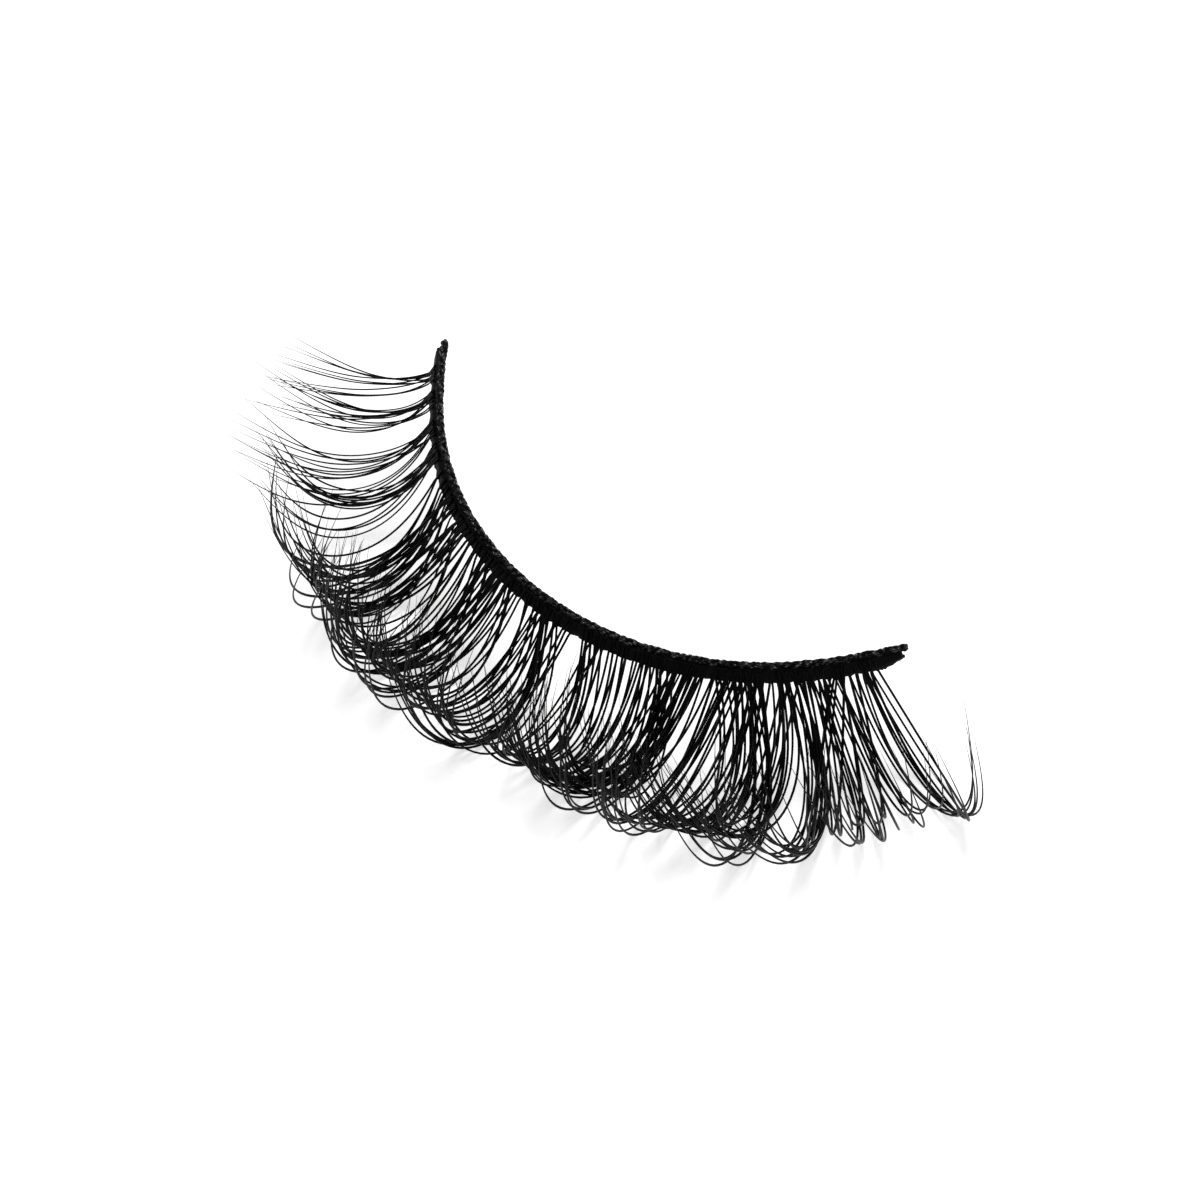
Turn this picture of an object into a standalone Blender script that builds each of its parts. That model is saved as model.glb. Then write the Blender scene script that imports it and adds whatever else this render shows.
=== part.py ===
"""A false eyelash strip, standing by itself on the bellies of its curled lashes.

Two thin threads follow the curve of an eyelid. Twenty fans of lashes hang from them, one beside
the other. Each fan is a flat root tab with six curled locks fused to its lower edge.
+X runs along the strip, the lashes reach out towards -Y at its middle, and +Z is up.
"""

import math
from collections import namedtuple

import bmesh
import bpy
from mathutils import Vector

MM = 0.001

# The band: an arc whose last stretch at each end is straighter
BAND_LENGTH = 32.0 * MM
BAND_RADIUS = 14.14 * MM
BAND_HEIGHT = 4.62 * MM
END_STRETCH = 6.0 * MM
END_STRAIGHTENING = 0.765
BAND_SUM_STEPS = 64

# The band's face leans outwards and down, and stands steeper towards the left end
BAND_TILT = math.radians(55)
LEFT_END_EXTRA_TILT = math.radians(12)
LEFT_TURN_STARTS = -7.0 * MM

# The two threads, one under the other on the band's face
THREAD_RADIUS = 0.17 * MM
PIECE_GAP = 0.05 * MM
THREAD_SIDES = 8
THREAD_STEPS = 49
LOWER_THREAD_SHORTER = 0.2 * MM

# A fan's root tab, laid over the outer face of the lower thread
TAB_WIDTH = 1.40 * MM
TAB_THICKNESS = 0.12 * MM
TAB_TOP = 0.36 * MM
TAB_END = 0.92 * MM

# The locks of a fan, side by side along the tab's lower edge
LOCKS = 6
RING_SHARES = (0.17, 0.30, 0.39, 0.47, 0.55, 0.65, 0.80, 1.0)
ROOT_PITCH = 0.235 * MM
ROOT_WIDTH = 0.15 * MM
LOCK_TURN = math.radians(1.25)
END_FLARE = math.radians(11)
CURL_MIDDLE = 0.45
CURL_SHARPNESS = 8.0
CURL_SUM_STEPS = 64
LOCK_LENGTHS = (0.95, 1.0, 0.92, 0.98, 0.9, 1.0)
LOCK_LIFTS = (0.10 * MM, 0.0, 0.16 * MM, 0.0, 0.20 * MM, 0.05 * MM)

# A lock's outline: share of its length, its width and its thickness there
Girth = namedtuple("Girth", "share width thickness")
LOCK_GIRTHS = (
    Girth(0.00, ROOT_WIDTH, TAB_THICKNESS),
    Girth(0.20, 0.17 * MM, 0.12 * MM),
    Girth(0.50, 0.29 * MM, 0.13 * MM),
    Girth(0.80, 0.20 * MM, 0.10 * MM),
    Girth(1.00, 0.05 * MM, 0.04 * MM),
)

# The fans from left to right: place along the band from its middle, length of the lashes,
# how far the belly of the curl stays above the surface, and how steeply the tips rise
Fan = namedtuple("Fan", "place length lift tip_angle")
FANS = (
    Fan(-14.25 * MM, 11.8 * MM, 0.80 * MM, math.radians(74)),
    Fan(-12.75 * MM, 13.0 * MM, 0.40 * MM, math.radians(80)),
    Fan(-11.25 * MM, 14.2 * MM, 0.10 * MM, math.radians(88)),
    Fan(-9.75 * MM, 15.3 * MM, 0.0, math.radians(95)),
    Fan(-8.25 * MM, 16.2 * MM, 0.0, math.radians(100)),
    Fan(-6.75 * MM, 16.8 * MM, 0.0, math.radians(104)),
    Fan(-5.25 * MM, 17.2 * MM, 0.0, math.radians(106)),
    Fan(-3.75 * MM, 17.2 * MM, 0.0, math.radians(108)),
    Fan(-2.25 * MM, 17.2 * MM, 0.0, math.radians(108)),
    Fan(-0.75 * MM, 17.0 * MM, 0.0, math.radians(108)),
    Fan(0.75 * MM, 17.0 * MM, 0.0, math.radians(108)),
    Fan(2.25 * MM, 16.6 * MM, 0.0, math.radians(108)),
    Fan(3.75 * MM, 16.4 * MM, 0.0, math.radians(108)),
    Fan(5.25 * MM, 17.0 * MM, 0.0, math.radians(108)),
    Fan(6.75 * MM, 17.4 * MM, 0.0, math.radians(108)),
    Fan(8.25 * MM, 17.8 * MM, 0.0, math.radians(108)),
    Fan(9.75 * MM, 17.8 * MM, 0.0, math.radians(108)),
    Fan(11.25 * MM, 17.2 * MM, 0.0, math.radians(108)),
    Fan(12.75 * MM, 16.8 * MM, 0.0, math.radians(110)),
    Fan(14.25 * MM, 16.8 * MM, 0.0, math.radians(112)),
)


def clear_scene():
    for obj in list(bpy.data.objects):
        bpy.data.objects.remove(obj)


def make_material(name, color, roughness):
    """A plain dielectric finish in one colour."""
    material = bpy.data.materials.new(name)
    material.use_nodes = True
    shader = material.node_tree.nodes["Principled BSDF"]
    shader.inputs["Base Color"].default_value = (*color, 1.0)
    shader.inputs["Roughness"].default_value = roughness
    shader.inputs["Metallic"].default_value = 0.0
    return material


def end_share(place):
    """How far a place lies into the straighter stretch at either end, in metres."""
    return max(0.0, abs(place) - (BAND_LENGTH / 2 - END_STRETCH))


def band_heading(place):
    """The band's direction, as an angle from +X."""
    turned = abs(place) - END_STRAIGHTENING * end_share(place) ** 2 / (2 * END_STRETCH)
    return math.copysign(turned / BAND_RADIUS, place)


def band_point(place):
    """The point on the band's upper line at a place along it."""
    step = place / BAND_SUM_STEPS
    headings = [band_heading((i + 0.5) * step) for i in range(BAND_SUM_STEPS)]
    x = sum(math.cos(heading) for heading in headings) * step
    y = sum(math.sin(heading) for heading in headings) * step
    return Vector((x, y, BAND_HEIGHT))


def band_tilt(place):
    """How far the band's face leans below the horizontal."""
    left_reach = LEFT_TURN_STARTS + BAND_LENGTH / 2
    share = max(0.0, LEFT_TURN_STARTS - place) / left_reach
    return BAND_TILT + LEFT_END_EXTRA_TILT * share


def down_face(tilt, heading=0.0):
    """The direction down the band's face, and the direction straight out of it."""
    outward = Vector((math.sin(heading), -math.cos(heading), 0.0))
    up = Vector((0.0, 0.0, 1.0))
    down = math.cos(tilt) * outward - math.sin(tilt) * up
    out = math.sin(tilt) * outward + math.cos(tilt) * up
    return down, out


def object_from(bm, name, material, location, heading=0.0):
    bmesh.ops.recalc_face_normals(bm, faces=bm.faces)
    mesh = bpy.data.meshes.new(name)
    bm.to_mesh(mesh)
    bm.free()
    mesh.materials.append(material)
    obj = bpy.data.objects.new(name, mesh)
    obj.location = location
    obj.rotation_euler.z = heading
    bpy.context.scene.collection.objects.link(obj)
    return obj


def make_thread(name, depth, half_length, material):
    """A round thread along the band, its centre at a depth down the band's face."""
    origin = band_point(0.0)
    bm = bmesh.new()
    rings = []
    for i in range(THREAD_STEPS + 1):
        place = half_length * (2 * i / THREAD_STEPS - 1)
        down, out = down_face(band_tilt(place), band_heading(place))
        centre = band_point(place) - origin + depth * down
        ring = []
        for k in range(THREAD_SIDES):
            angle = 2 * math.pi * (k + 0.5) / THREAD_SIDES
            offset = math.cos(angle) * down + math.sin(angle) * out
            ring.append(bm.verts.new(centre + THREAD_RADIUS * offset))
        rings.append(ring)
    for ring, following in zip(rings, rings[1:]):
        bmesh.ops.bridge_loops(bm, edges=ring_edges(bm, ring) + ring_edges(bm, following))
    bm.faces.new(rings[0])
    bm.faces.new(rings[-1])
    thread = object_from(bm, name, material, origin)
    thread.data.shade_smooth()
    thread.data.set_sharp_from_angle(angle=math.radians(60))
    return thread


def ring_edges(bm, ring):
    """The edges that close a ring of points, made where they are missing."""
    edges = []
    for start, end in zip(ring, ring[1:] + ring[:1]):
        edges.append(bm.edges.get((start, end)) or bm.edges.new((start, end)))
    return edges


def girth_at(share):
    """Width and thickness of a lock at a share of its length."""
    for low, high in zip(LOCK_GIRTHS, LOCK_GIRTHS[1:]):
        if share <= high.share:
            mix = (share - low.share) / (high.share - low.share)
            width = low.width + mix * (high.width - low.width)
            return width, low.thickness + mix * (high.thickness - low.thickness)
    return LOCK_GIRTHS[-1].width, LOCK_GIRTHS[-1].thickness


def curl_share(share):
    """How much of the whole turn a lash has made: little at its root, most at its middle."""
    def sigmoid(value):
        return 1 / (1 + math.exp(-(value - CURL_MIDDLE) * CURL_SHARPNESS))
    return (sigmoid(share) - sigmoid(0)) / (sigmoid(1) - sigmoid(0))


def curl_line(length, root_angle, tip_angle, drop):
    """Reach, height and angle at each ring of a lash that turns from root_angle to tip_angle.

    The falling stretch is scaled so that the belly lies exactly drop below the root.
    """
    step = length / CURL_SUM_STEPS
    points = [(0.0, 0.0)]
    angles = []
    for i in range(CURL_SUM_STEPS):
        share = (i + 0.5) / CURL_SUM_STEPS
        angle = root_angle + (tip_angle - root_angle) * curl_share(share)
        reach, height = points[-1]
        points.append((reach + math.cos(angle) * step, height + math.sin(angle) * step))
        angles.append(angle)
    lowest = min(range(len(points)), key=lambda i: points[i][1])
    natural_drop = -points[lowest][1]
    scale = drop / natural_drop
    line = []
    for i, (reach, height) in enumerate(points):
        moved = height * scale if i <= lowest else height + natural_drop - drop
        angle = root_angle if i == 0 else angles[i - 1]
        line.append((reach, moved, angle))
    return [line[round(share * CURL_SUM_STEPS)] for share in RING_SHARES]


def add_lock(bm, root_ring, centre, turn, line):
    """Sweep a tapering lock from its four root points along the curl."""
    across = Vector((math.cos(turn), math.sin(turn), 0.0))
    outward = Vector((math.sin(turn), -math.cos(turn), 0.0))
    up = Vector((0.0, 0.0, 1.0))
    previous = root_ring
    for share, (reach, height, angle) in zip(RING_SHARES, line):
        width, thickness = girth_at(share)
        middle = centre + reach * outward + height * up
        over = -math.sin(angle) * outward + math.cos(angle) * up
        side, face = across * width / 2, over * thickness / 2
        corners = (-side - face, side - face, side + face, -side + face)
        ring = [bm.verts.new(middle + corner) for corner in corners]
        for k in range(4):
            bm.faces.new((previous[k - 1], previous[k], ring[k], ring[k - 1]))
        previous = ring
    bm.faces.new(previous)


def make_fan(index, fan, material):
    """A root tab and its six locks as one closed body, in the fan's own frame."""
    tilt = band_tilt(fan.place)
    heading = band_heading(fan.place)
    down, out = down_face(tilt)
    back = THREAD_RADIUS + PIECE_GAP
    origin = band_point(fan.place)
    across = Vector((1.0, 0.0, 0.0))

    def tab_corner(along, depth, outer):
        return across * along + down * depth + out * (back + TAB_THICKNESS * outer)

    bm = bmesh.new()
    half = TAB_WIDTH / 2
    top = [bm.verts.new(tab_corner(x, TAB_TOP, o)) for x, o in ((-half, 0), (half, 0), (half, 1), (-half, 1))]
    end_left = [bm.verts.new(tab_corner(-half, TAB_END, o)) for o in (0, 1)]
    end_right = [bm.verts.new(tab_corner(half, TAB_END, o)) for o in (0, 1)]
    inner_edge, outer_edge = [end_left[0]], [end_left[1]]
    roots = []
    for i in range(LOCKS):
        middle = (i - (LOCKS - 1) / 2) * ROOT_PITCH
        sides = (middle - ROOT_WIDTH / 2, middle + ROOT_WIDTH / 2)
        inner = [bm.verts.new(tab_corner(x, TAB_END, 0)) for x in sides]
        outer = [bm.verts.new(tab_corner(x, TAB_END, 1)) for x in sides]
        bm.faces.new((inner_edge[-1], inner[0], outer[0], outer_edge[-1]))
        inner_edge += inner
        outer_edge += outer
        roots.append((middle, [inner[0], inner[1], outer[1], outer[0]]))
    bm.faces.new((inner_edge[-1], end_right[0], end_right[1], outer_edge[-1]))
    inner_edge.append(end_right[0])
    outer_edge.append(end_right[1])
    bm.faces.new(top)
    bm.faces.new([top[0], *inner_edge, top[1]])
    bm.faces.new([top[3], *outer_edge, top[2]])
    bm.faces.new((top[0], top[3], end_left[1], end_left[0]))
    bm.faces.new((top[1], top[2], end_right[1], end_right[0]))

    flare = math.copysign(END_FLARE * end_share(fan.place) / END_STRETCH, fan.place)
    for i, (middle, ring) in enumerate(roots):
        centre = tab_corner(middle, TAB_END, 0.5)
        length = fan.length * LOCK_LENGTHS[(i + index) % LOCKS]
        clearance = fan.lift + LOCK_LIFTS[(i + index) % LOCKS]
        belly_thickness = girth_at(CURL_MIDDLE)[1] / 2
        drop = origin.z + centre.z - clearance - belly_thickness
        turn = flare + (i - (LOCKS - 1) / 2) * LOCK_TURN
        add_lock(bm, ring, centre, turn, curl_line(length, -tilt, fan.tip_angle, drop))
    return object_from(bm, f"lash_fan_{index + 1:02d}", material, origin, heading)


def stand_on_origin(pieces):
    """Move the strip so that the middle of its box's floor is the origin."""
    bpy.context.view_layer.update()
    points = [piece.matrix_world @ vertex.co for piece in pieces for vertex in piece.data.vertices]
    low = Vector([min(point[k] for point in points) for k in range(3)])
    high = Vector([max(point[k] for point in points) for k in range(3)])
    for piece in pieces:
        piece.location -= Vector(((low.x + high.x) / 2, (low.y + high.y) / 2, low.z))


def main():
    clear_scene()
    thread_black = make_material("waxed_black_cotton_thread", (0.010, 0.010, 0.013), 0.38)
    lash_black = make_material("heat_curled_black_fibre", (0.006, 0.006, 0.008), 0.28)
    upper_depth = THREAD_RADIUS
    lower_depth = upper_depth + 2 * THREAD_RADIUS + PIECE_GAP
    half = BAND_LENGTH / 2
    pieces = [
        make_thread("upper_thread", upper_depth, half, thread_black),
        make_thread("lower_thread", lower_depth, half - LOWER_THREAD_SHORTER, thread_black),
    ]
    pieces += [make_fan(index, fan, lash_black) for index, fan in enumerate(FANS)]
    stand_on_origin(pieces)


main()
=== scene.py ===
"""The looks of a false eyelash strip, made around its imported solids.

Each fan of the source becomes real single fibres, each thread becomes twisted strands, and a film
of lacquer holds the fibres' roots to the lower thread. Everything is in metres.
"""

import math
from collections import namedtuple
from functools import partial

import bmesh
import bpy
from bpy.props import FloatProperty, FloatVectorProperty, IntProperty, PointerProperty
from mathutils import Euler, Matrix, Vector, noise


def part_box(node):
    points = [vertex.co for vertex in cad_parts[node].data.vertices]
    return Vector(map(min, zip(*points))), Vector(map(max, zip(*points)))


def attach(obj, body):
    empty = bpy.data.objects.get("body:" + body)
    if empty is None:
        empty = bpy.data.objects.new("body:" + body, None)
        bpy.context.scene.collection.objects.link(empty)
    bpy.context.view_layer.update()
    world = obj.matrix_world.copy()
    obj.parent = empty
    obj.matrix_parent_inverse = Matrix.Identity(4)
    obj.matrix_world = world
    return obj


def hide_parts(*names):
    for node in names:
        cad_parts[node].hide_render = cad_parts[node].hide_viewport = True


bl_info = {
    "name": "False Eyelash Strip",
    "version": (1, 0, 0),
    "blender": (4, 5, 0),
    "location": "3D View > Sidebar > Lash Strip",
    "description": "Builds a strip of curled false lashes around its packed solids",
    "category": "Object",
}

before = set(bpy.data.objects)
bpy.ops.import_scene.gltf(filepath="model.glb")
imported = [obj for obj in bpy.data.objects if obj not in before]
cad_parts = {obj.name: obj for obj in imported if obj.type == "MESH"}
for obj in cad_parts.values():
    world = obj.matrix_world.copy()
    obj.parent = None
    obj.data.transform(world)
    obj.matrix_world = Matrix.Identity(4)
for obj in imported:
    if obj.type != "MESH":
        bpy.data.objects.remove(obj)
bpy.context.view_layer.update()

MM = 0.001
UP = Vector((0.0, 0.0, 1.0))

# The band's line, by the same values as the part's source
BAND_LENGTH = 32.0 * MM
BAND_RADIUS = 14.14 * MM
END_STRETCH = 6.0 * MM
END_STRAIGHTENING = 0.765
BAND_SUM_STEPS = 64
BAND_TILT = math.radians(55)
LEFT_END_EXTRA_TILT = math.radians(12)
LEFT_TURN_STARTS = -7.0 * MM
THREAD_RADIUS = 0.17 * MM
THREAD_SIDES = 8
PIECE_GAP = 0.05 * MM
LOWER_THREAD_SHORTER = 0.2 * MM
UPPER_DEPTH = THREAD_RADIUS
LOWER_DEPTH = 3 * THREAD_RADIUS + PIECE_GAP
GUIDE_STEPS = 256

# The threads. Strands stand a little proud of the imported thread, and turn faster in their ply
# than the ply turns in the thread. Orbits and the strands' radius are shares of the thread's
# radius. The twist is uneven over a set length, by an angle, and each thread at other places
STRANDS_PROUD = 1.12
STRAND_PITCH_SHARE = 0.62
PLY_ORBIT = 0.44
STRAND_ORBIT = 0.28
STRAND_RADIUS = 0.32
STRAND_POINTS = 620
STRAND_SIDES = 5
UNEVEN_LENGTH = 0.8 * MM
UNEVEN_TURN = 3.5
UNEVEN_SHIFT = 7.0
THREAD_END_LENGTH = 0.12 * MM

# The fibres' roots on the band's face: where they start, how far out, and where they come free
ROOT_TOP = 0.34 * MM
ROOT_END = 0.92 * MM
ROOT_OUT = 0.26 * MM

# The fibres: how finely they are drawn, how strongly the curl gathers at its middle, the share
# of their length past which they taper, and how far apart the seeds of the fans lie
FIBRE_POINTS = 46
FIBRE_SIDES = 6
CURL_SHARPNESS = 4.0
TAPER_STARTS = 0.58
SEED_STEP = 100

# The lacquer film: how far it runs past the middles of the end fans, over what length it thins
# out there, how far its edge draws back between fans, how high its crown stands on the band's
# face, and how far down the face the crown begins
LACQUER_TAIL = 1.45 * MM
LACQUER_THINNING = 0.5 * MM
LACQUER_DRAWN_BACK = 0.14 * MM
LACQUER_CROWN = 0.235 * MM
LACQUER_CROWN_STARTS = 0.42 * MM
LACQUER_STEPS = 1500

# The stage
FLOOR_HALF = 0.6
LAMP_WIDTH = 0.22
LAMP_PLACE = Vector((-0.16, 0.20, 0.40))

# The photograph's camera: which way it looks, from how far, and how much it takes in
CAMERA_AZIMUTH = math.radians(39.82)
CAMERA_ELEVATION = math.radians(54.33)
CAMERA_DISTANCE = 0.2
CAMERA_SIDESTEP = 1.957 * MM
CAMERA_LENS_MM = 139.0
SENSOR_MM = 36.0

# The fans from left to right: place along the band, length of the lashes, lift of their belly,
# how steeply the tips rise, how wide their roots spread, how many fibres and how thick they are,
# where along them the curl is strongest, in degrees how far the whole fan is turned about the
# vertical, leans along the band, and is rolled about its own roots, and how unruly it is
Fan = namedtuple(
    "Fan", "place length lift tip_angle root_width fibres girth middle turn lean roll unruly")
FANS = (
    Fan(-14.25 * MM, 9.1 * MM, 2.50 * MM, 24, 0.50 * MM, 12, 0.58, 0.30, 0, 0, 0, 0.45),
    Fan(-12.75 * MM, 10.8 * MM, 2.10 * MM, 36, 0.60 * MM, 13, 0.62, 0.32, 1, 0, 0, 0.55),
    Fan(-11.25 * MM, 12.4 * MM, 1.60 * MM, 50, 0.80 * MM, 13, 0.68, 0.35, 3, 0, 0, 0.60),
    Fan(-9.75 * MM, 14.0 * MM, 1.00 * MM, 72, 1.00 * MM, 13, 0.78, 0.38, 7, 0, -3, 0.65),
    Fan(-8.25 * MM, 16.1 * MM, 0.40 * MM, 90, 1.20 * MM, 13, 0.86, 0.41, 12, 0, -6, 0.75),
    Fan(-6.75 * MM, 16.9 * MM, 0.10 * MM, 102, 1.30 * MM, 14, 0.93, 0.43, 12, 0, -10, 0.85),
    Fan(-5.25 * MM, 17.3 * MM, 0.00 * MM, 106, 1.40 * MM, 15, 1.00, 0.43, 9, 0, -14, 0.90),
    Fan(-3.75 * MM, 16.9 * MM, 0.00 * MM, 108, 1.40 * MM, 16, 1.00, 0.42, 5, 0, -18, 0.95),
    Fan(-2.25 * MM, 16.6 * MM, 0.00 * MM, 108, 1.40 * MM, 15, 1.00, 0.42, 2, 0, -18, 0.95),
    Fan(-0.75 * MM, 16.1 * MM, 0.00 * MM, 108, 1.40 * MM, 14, 1.00, 0.42, 0, 0, -18, 0.95),
    Fan(0.75 * MM, 15.4 * MM, 0.00 * MM, 108, 1.40 * MM, 12, 1.00, 0.42, 0, -2, -20, 0.95),
    Fan(2.25 * MM, 14.6 * MM, 0.00 * MM, 108, 1.40 * MM, 11, 1.00, 0.42, 0, -4, -22, 0.95),
    Fan(3.75 * MM, 14.2 * MM, 0.00 * MM, 108, 1.40 * MM, 11, 1.00, 0.43, -2, -5, -24, 0.90),
    Fan(5.25 * MM, 14.9 * MM, 0.00 * MM, 108, 1.40 * MM, 15, 1.00, 0.44, -4, -5, -29, 0.85),
    Fan(6.75 * MM, 15.8 * MM, 0.00 * MM, 108, 1.40 * MM, 20, 1.00, 0.45, -5, -3, -34, 0.85),
    Fan(8.25 * MM, 17.2 * MM, 0.00 * MM, 108, 1.40 * MM, 23, 1.00, 0.45, -4, -2, -36, 0.85),
    Fan(9.75 * MM, 17.7 * MM, 0.00 * MM, 107, 1.40 * MM, 25, 1.00, 0.45, -2, 0, -32, 0.90),
    Fan(11.25 * MM, 17.5 * MM, 0.00 * MM, 106, 1.40 * MM, 25, 1.00, 0.45, -2, 0, -15, 0.95),
    Fan(12.75 * MM, 16.8 * MM, 0.00 * MM, 107, 1.40 * MM, 17, 1.00, 0.45, 4, 2, -5, 0.95),
    Fan(14.25 * MM, 16.9 * MM, 0.00 * MM, 108, 1.10 * MM, 9, 1.00, 0.45, 18, 9, 0, 0.75),
)

# What is left to chance in a fan, in the order of the draws: whether it is drawn for each bundle
# or for each fibre, and between which limits. Angles are in radians. A bundle's place is a share
# of the roots' width, and a fibre's of the spacing. A bundle's roll is a share of its spread, and
# so is its lean, to the side that its own draw gives. Lengths, curl middles and girths are shares
FAN_DRAWS = (
    ("bundle place", "bundle", -0.5, 0.5),
    ("fibre place", "fibre", -0.7, 0.7),
    ("rise", "fibre", ROOT_OUT - 0.035 * MM, ROOT_OUT + 0.03 * MM),
    ("start depth", "fibre", ROOT_TOP - 0.04 * MM, ROOT_TOP + 0.06 * MM),
    ("bundle length", "bundle", 0.80, 1.0),
    ("fibre length", "fibre", 0.93, 1.0),
    ("bundle curl middle", "bundle", -0.025, 0.025),
    ("fibre curl middle", "fibre", -0.015, 0.015),
    ("bundle tip angle", "bundle", -0.10, 0.10),
    ("fibre tip angle", "fibre", -0.12, 0.08),
    ("bundle lift", "bundle", -0.10 * MM, 0.45 * MM),
    ("fibre lift", "fibre", -0.10 * MM, 0.25 * MM),
    ("lean side", "bundle", 0.0, 1.0),
    ("bundle lean", "bundle", 0.15, 1.0),
    ("fibre lean", "fibre", -0.08, 0.08),
    ("bundle roll", "bundle", -1.0, 1.0),
    ("fibre roll", "fibre", -0.09, 0.09),
    ("girth", "fibre", 0.88, 1.08),
    ("tone", "fibre", 0.0, 1.0),
)

# The kinds of node that are used over and over
MATH = "ShaderNodeMath"
VECTOR_MATH = "ShaderNodeVectorMath"
MAP_RANGE = "ShaderNodeMapRange"
NOISE = "ShaderNodeTexNoise"


# The band's line

def end_share(place):
    """How far a place lies into the straighter stretch at either end, in metres."""
    return max(0.0, abs(place) - (BAND_LENGTH / 2 - END_STRETCH))


def band_heading(place):
    """The band's direction, as an angle from +X."""
    turned_length = abs(place) - END_STRAIGHTENING * end_share(place) ** 2 / (2 * END_STRETCH)
    return math.copysign(turned_length / BAND_RADIUS, place)


def band_offset(place):
    """How far a place on the band lies from its middle."""
    step = place / BAND_SUM_STEPS
    headings = [band_heading((i + 0.5) * step) for i in range(BAND_SUM_STEPS)]
    x = sum(math.cos(heading) for heading in headings) * step
    y = sum(math.sin(heading) for heading in headings) * step
    return Vector((x, y, 0.0))


def band_tilt(place):
    """How far the band's face leans below the horizontal."""
    left_reach = LEFT_TURN_STARTS + BAND_LENGTH / 2
    share = max(0.0, LEFT_TURN_STARTS - place) / left_reach
    return BAND_TILT + LEFT_END_EXTRA_TILT * share


def face_directions(place):
    """The directions down the band's face and straight out of it at a place."""
    heading, tilt = band_heading(place), band_tilt(place)
    outward = Vector((math.sin(heading), -math.cos(heading), 0.0))
    down = math.cos(tilt) * outward - math.sin(tilt) * UP
    out = math.sin(tilt) * outward + math.cos(tilt) * UP
    return down, out


def find_band_middle():
    """The middle of the band's top line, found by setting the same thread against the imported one."""
    low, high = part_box("upper_thread")
    points = []
    for i in range(GUIDE_STEPS + 1):
        place = BAND_LENGTH * (i / GUIDE_STEPS - 0.5)
        down, out = face_directions(place)
        centre = band_offset(place) + UPPER_DEPTH * down
        for k in range(THREAD_SIDES):
            angle = math.tau * (k + 0.5) / THREAD_SIDES
            points.append(centre + THREAD_RADIUS * (math.cos(angle) * down + math.sin(angle) * out))
    lowest = Vector([min(point[k] for point in points) for k in range(3)])
    highest = Vector([max(point[k] for point in points) for k in range(3)])
    return (low + high - lowest - highest) / 2


BAND_MIDDLE = find_band_middle()


def band_point(place):
    """The band's top line at a place."""
    return BAND_MIDDLE + band_offset(place)


# Colours

def linear(code):
    """A colour written as a hex code, turned from sRGB to linear."""
    shares = [int(code[i:i + 2], 16) / 255 for i in (1, 3, 5)]
    return tuple(s / 12.92 if s <= 0.04045 else ((s + 0.055) / 1.055) ** 2.4 for s in shares)


# What a user would change

class LashBandSettings(bpy.types.PropertyGroup):
    """Sizes of the threads and of the lacquer over them"""

    upper_pitch: FloatProperty(
        name="Upper twist", description="Length of one full turn of the upper thread's plies",
        default=1.35 * MM, min=0.3 * MM, unit="LENGTH", precision=6)
    lower_pitch: FloatProperty(
        name="Lower twist", description="Length of one full turn of the lower thread's plies",
        default=1.10 * MM, min=0.3 * MM, unit="LENGTH", precision=6)
    strands: IntProperty(
        name="Strands in a ply", description="How many strands are twisted into each ply",
        default=4, min=2, max=8)
    lacquer_edge: FloatProperty(
        name="Lacquer edge", description="How far down the band's face the root lacquer reaches",
        default=0.90 * MM, min=0.5 * MM, unit="LENGTH", precision=6)


class LashFibreSettings(bpy.types.PropertyGroup):
    """Sizes of the fibres, and how they gather and spread"""

    diameter: FloatProperty(
        name="Fibre diameter", description="Thickness of a fibre at its root",
        default=0.112 * MM, min=0.02 * MM, unit="LENGTH", precision=6)
    tip_share: FloatProperty(
        name="Tip", description="Thickness at the very tip, as a share of the root's",
        default=0.10, min=0.02, max=1.0, subtype="FACTOR")
    bundle: IntProperty(
        name="Fibres in a bundle", description="How many fibres lie side by side in one direction",
        default=4, min=1, max=12)
    spacing: FloatProperty(
        name="Spacing", description="Distance between the fibres of one bundle at their roots",
        default=0.22 * MM, min=0.02 * MM, unit="LENGTH", precision=6)
    lean: FloatProperty(
        name="Lean", description="How far bundles lean to either side where they leave the band",
        default=math.radians(20), subtype="ANGLE")
    roll: FloatProperty(
        name="Roll", description="How far a bundle's curl may roll to either side about its roots",
        default=math.radians(18), subtype="ANGLE")


class LashFinishSettings(bpy.types.PropertyGroup):
    """Colours of the fibres"""

    fibre_root: FloatVectorProperty(
        name="Fibre root", description="Colour of the fibres where they leave the band",
        default=linear("#030305"), size=3, min=0.0, max=1.0, subtype="COLOR")
    fibre_tip: FloatVectorProperty(
        name="Fibre tip", description="Colour of the fibres at their fine tips",
        default=linear("#08080a"), size=3, min=0.0, max=1.0, subtype="COLOR")


class LashStageSettings(bpy.types.PropertyGroup):
    """Brightness of the light around the strip"""

    sky: FloatProperty(
        name="Surround", description="Brightness of the even white light from all sides",
        default=0.36, min=0.0)
    glow: FloatProperty(
        name="Glow", description="Brightness of the light that comes through the opal floor",
        default=0.61, min=0.0)
    key_power: FloatProperty(
        name="Key light", description="Power of the small soft light overhead",
        default=0.9, min=0.0, unit="POWER")


class LashStripSettings(bpy.types.PropertyGroup):
    """Everything about the strip that a user would change"""

    band: PointerProperty(name="Band", description="Threads and lacquer", type=LashBandSettings)
    fibres: PointerProperty(name="Fibres", description="The lashes", type=LashFibreSettings)
    finish: PointerProperty(name="Finish", description="Colours", type=LashFinishSettings)
    stage: PointerProperty(name="Stage", description="Light", type=LashStageSettings)


# Nodes and materials

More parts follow.
